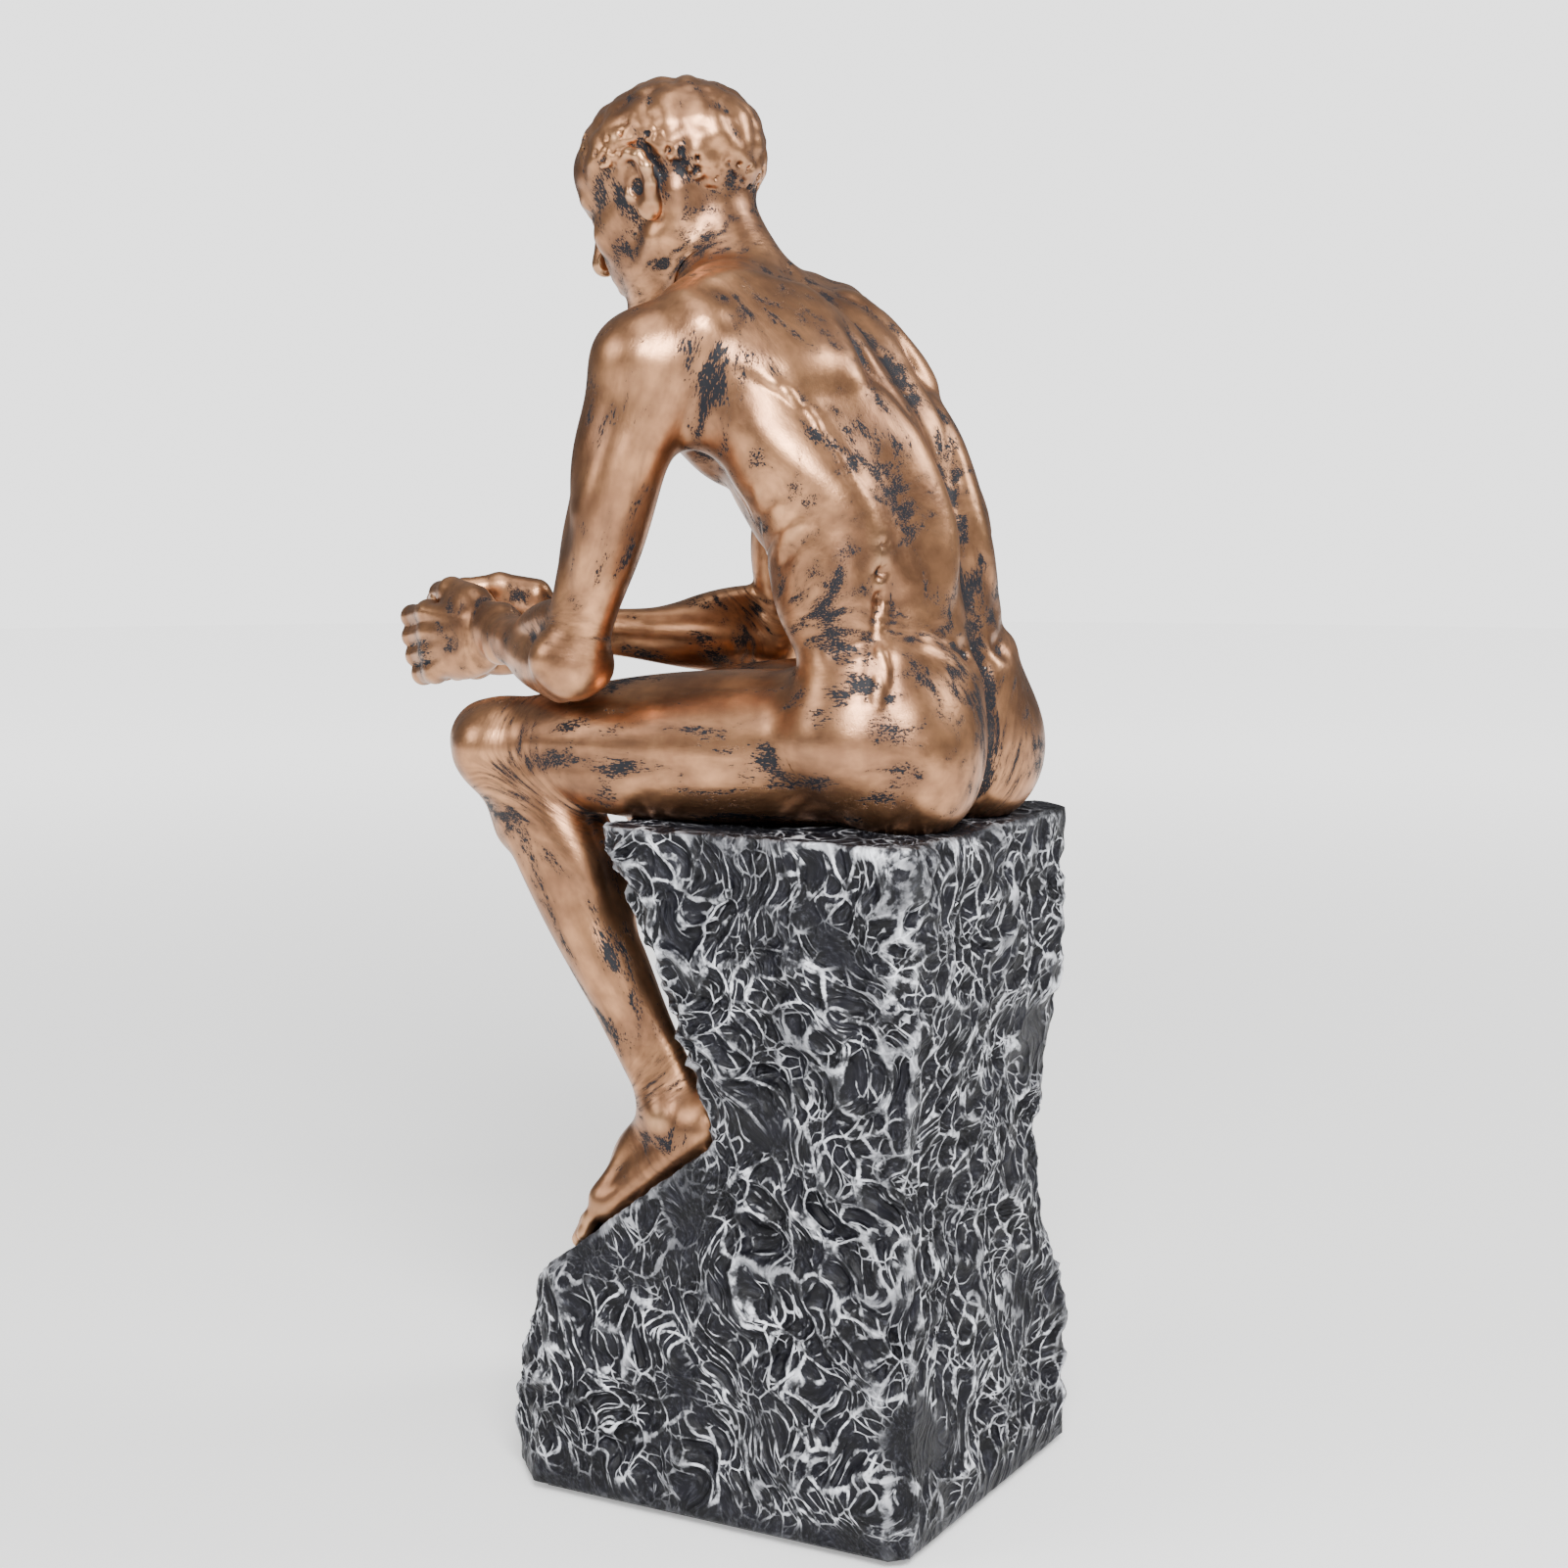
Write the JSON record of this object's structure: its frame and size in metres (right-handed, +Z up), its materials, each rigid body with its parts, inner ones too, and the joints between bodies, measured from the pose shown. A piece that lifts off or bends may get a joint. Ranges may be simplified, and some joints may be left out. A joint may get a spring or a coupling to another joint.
{
  "type": "seated figure statuette",
  "caption": "Desk ornament: a seated figure in thought with clasped hands, cast in painted resin pieces that are dowelled together and to a rough dark rock standing on felt.",
  "frame": {"origin": "on the surface under the felt, below the middle of the rock's seat block", "axes": "+Z up, the figure faces -Y and its left side is +X"},
  "size_m": [0.0882, 0.1281, 0.2555],
  "materials": {
    "figure_resin": "filled resin casting, copper-gold metallic paint with a black-brown wash in the creases",
    "rock_resin": "filled resin casting, charcoal paint with silver-white dry brushing on the ridges",
    "plate_board": "plain dark moulded board",
    "ballast_plaster": "poured casting plaster, unpainted",
    "felt": "pressed black felt",
    "dowel_steel": "plain drawn steel dowel"
  },
  "bodies": {
    "root": {"rock_base": "rock_resin", "base_plate": "plate_board", "ballast": "ballast_plaster", "felt_pad": "felt", "torso": "figure_resin", "head": "figure_resin", "left_arm": "figure_resin", "right_arm": "figure_resin", "left_leg": "figure_resin", "right_leg": "figure_resin", "seat_pins": "dowel_steel", "hip_pins": "dowel_steel", "shoulder_pins": "dowel_steel", "neck_pin": "dowel_steel", "foot_pins": "dowel_steel"}
  },
  "joints": []
}
